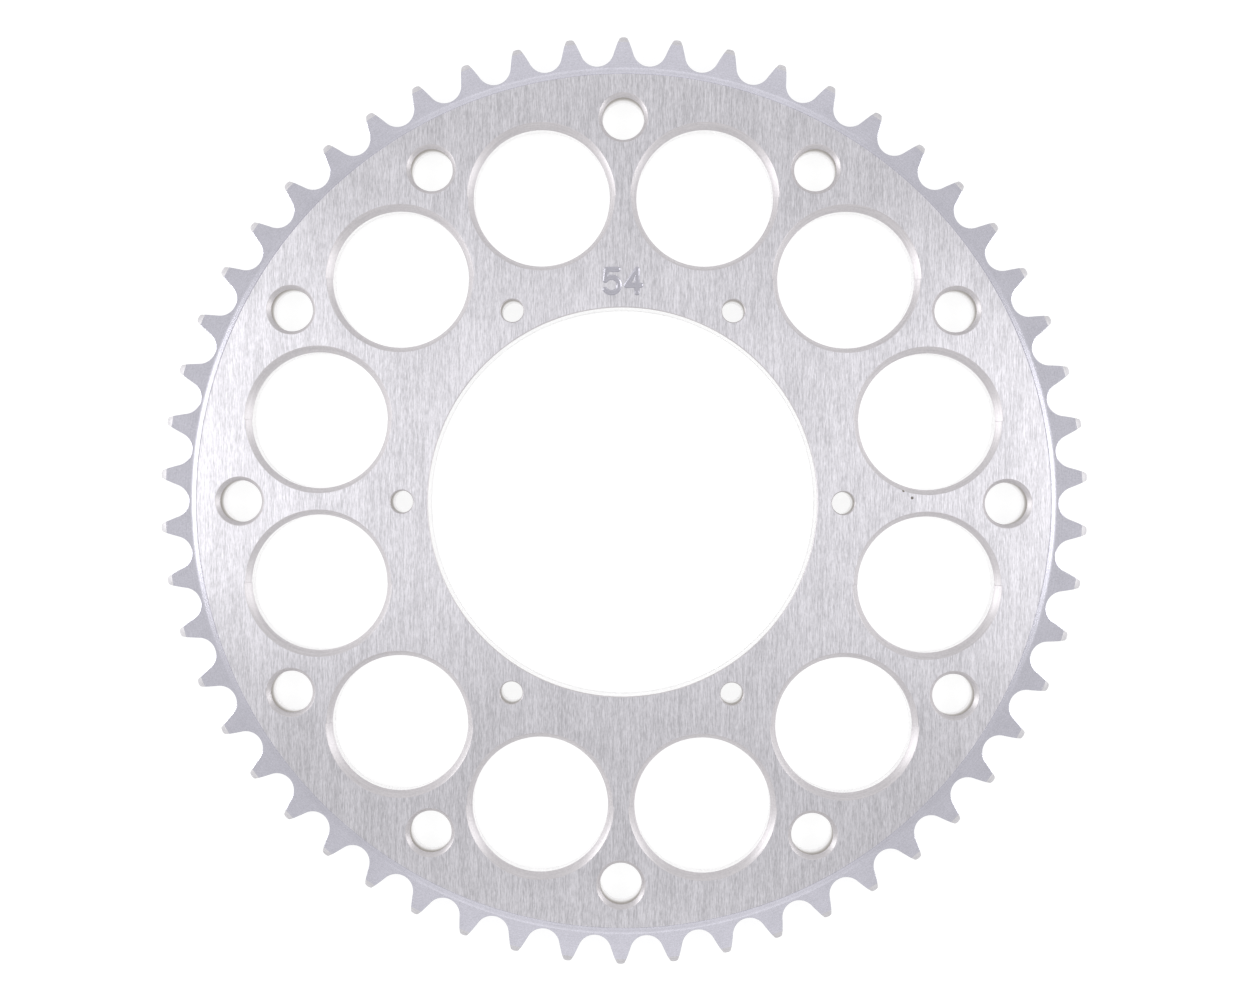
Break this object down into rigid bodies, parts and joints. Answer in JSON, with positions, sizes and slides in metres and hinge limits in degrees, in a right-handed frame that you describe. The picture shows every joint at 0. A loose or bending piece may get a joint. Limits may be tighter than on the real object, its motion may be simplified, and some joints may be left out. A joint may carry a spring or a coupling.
{
  "type": "rear sprocket",
  "caption": "Flat round chain sprocket for a rear wheel hub, with a large centre bore, a ring of bolt holes, lightening holes and bevelled teeth.",
  "frame": {"origin": "on the axis of the centre bore, at the back face that seats on the hub", "axes": "+Z along the bore axis, out of the front face that carries the number; +Y to the tooth above the number; +X to the right, through a bolt hole and a gap between teeth"},
  "size_m": [0.2804, 0.2808, 0.0063],
  "materials": {
    "machined_aluminium": "bare machined plate: straight rolled grain on the faces, turned rim, milled chamfers"
  },
  "bodies": {
    "root": {"sprocket_plate": "machined_aluminium"}
  },
  "joints": []
}
